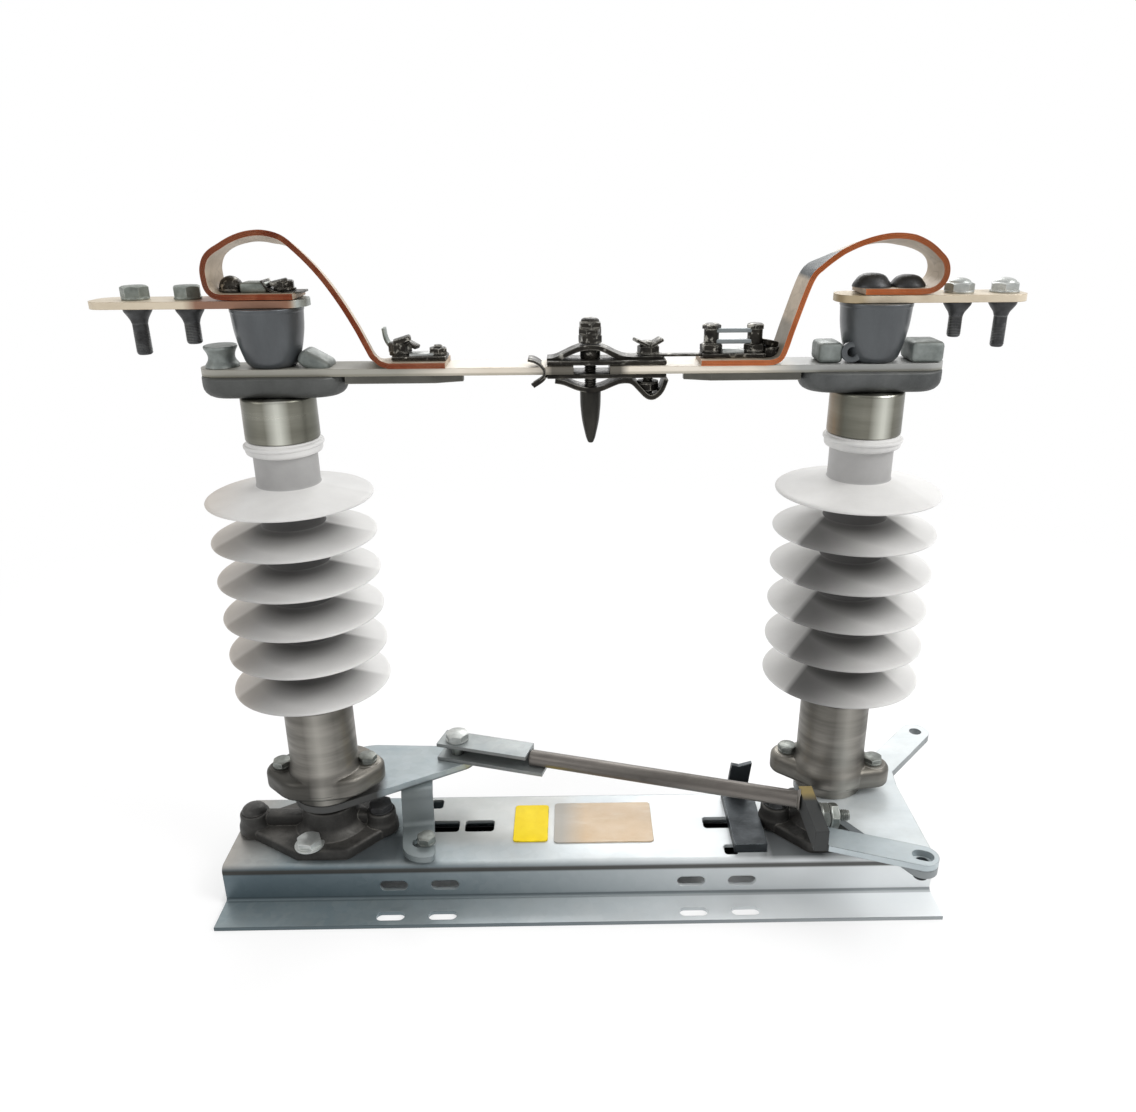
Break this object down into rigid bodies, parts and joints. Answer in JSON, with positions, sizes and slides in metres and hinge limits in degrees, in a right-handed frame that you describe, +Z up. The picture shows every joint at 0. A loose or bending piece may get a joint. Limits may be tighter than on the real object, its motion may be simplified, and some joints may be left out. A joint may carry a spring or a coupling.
{
  "type": "substation disconnect switch",
  "caption": "Centre-break disconnect switch pole: two turning post insulators on a hat-section base, blades meeting at the middle, crossed link rod and bolt terminals.",
  "frame": {"origin": "midway between the two column axes, on the underside of the base", "axes": "+X from the left column to the right one along the base, +Y towards the back, where the blades swing when they open, +Z up"},
  "size_m": [0.6192, 0.1923, 0.4994],
  "materials": {
    "galvanised_sheet": "hot-dip galvanised, dull",
    "cast_iron_grey": "rough cast, dark grey",
    "dark_steel": "dull dark steel",
    "zinc_bolts": "zinc plated, satin",
    "yellow_paint": "satin yellow",
    "label_plate": "matt beige, worn",
    "lower_fitting_metal": "brushed, warm grey",
    "silicone_rubber": "matt light grey",
    "cap_metal": "satin olive grey",
    "head_casting": "cast, charcoal",
    "tinned_copper": "tinned, ivory",
    "support_steel": "satin grey",
    "bare_copper": "dull copper with a tan face",
    "contact_steel": "blackened, with worn bright spots",
    "link_steel": "satin, warm grey"
  },
  "bodies": {
    "base": {"base_channel": "galvanised_sheet", "left_bearing_housing": "cast_iron_grey", "right_bearing_housing": "cast_iron_grey", "left_housing_bolts": "zinc_bolts", "right_housing_bolts": "zinc_bolts", "stop_bracket": "dark_steel", "phase_tag": "yellow_paint", "rating_plate": "label_plate"},
    "left_column": {"left_spindle": "dark_steel", "left_lever": "galvanised_sheet", "left_stop_arm": "galvanised_sheet", "left_lower_fitting": "lower_fitting_metal", "left_insulator": "silicone_rubber", "left_upper_cap": "cap_metal", "left_head": "head_casting", "left_column_bolts": "zinc_bolts", "left_swivel_post": "head_casting", "left_blade_support": "support_steel", "left_blade": "tinned_copper", "left_strip_clamp": "zinc_bolts", "left_strip": "bare_copper"},
    "right_column": {"right_spindle": "dark_steel", "right_lever": "galvanised_sheet", "right_lever_pin": "dark_steel", "right_lower_fitting": "lower_fitting_metal", "right_insulator": "silicone_rubber", "right_upper_cap": "cap_metal", "right_head": "head_casting", "right_column_bolts": "zinc_bolts", "right_swivel_post": "head_casting", "right_blade_support": "support_steel", "right_blade": "tinned_copper", "right_strip_clamp": "zinc_bolts", "right_strip": "bare_copper", "contact_fingers": "contact_steel", "bow_springs": "contact_steel", "contact_bolts": "contact_steel"},
    "left_terminal": {"left_terminal_plate": "tinned_copper", "left_terminal_bolts": "zinc_bolts"},
    "right_terminal": {"right_terminal_plate": "tinned_copper", "right_terminal_bolts": "zinc_bolts"},
    "link": {"link_fork": "link_steel", "link_rod": "link_steel", "link_lug": "link_steel", "link_pins": "zinc_bolts"}
  },
  "joints": [
    {"name": "left_column_turn", "type": "hinge", "parent": "base", "child": "left_column", "pos_m": [-0.2, 0, 0.05], "axis": [0, 0, 1], "range_deg": [0, 90]},
    {"name": "right_column_turn", "type": "hinge", "parent": "base", "child": "right_column", "pos_m": [0.2, 0, 0.05], "axis": [0, 0, 1], "range_deg": [-90, 0]},
    {"name": "left_terminal_swivel", "type": "hinge", "parent": "left_column", "child": "left_terminal", "pos_m": [-0.2, 0, 0.45], "axis": [0, 0, 1], "range_deg": [-90, 0]},
    {"name": "right_terminal_swivel", "type": "hinge", "parent": "right_column", "child": "right_terminal", "pos_m": [0.2, 0, 0.45], "axis": [0, 0, 1], "range_deg": [0, 90]},
    {"name": "link_pivot", "type": "hinge", "parent": "left_column", "child": "link", "pos_m": [-0.10096, 0.04306, 0.075], "axis": [0, 0, 1], "range_deg": [-90, 0]}
  ],
  "couplings": [
    {"joint": "right_column_turn", "follows": "left_column_turn", "ratio": -1},
    {"joint": "left_terminal_swivel", "follows": "left_column_turn", "ratio": -1},
    {"joint": "right_terminal_swivel", "follows": "left_column_turn", "ratio": 1},
    {"joint": "link_pivot", "follows": "left_column_turn", "ratio": -1}
  ]
}
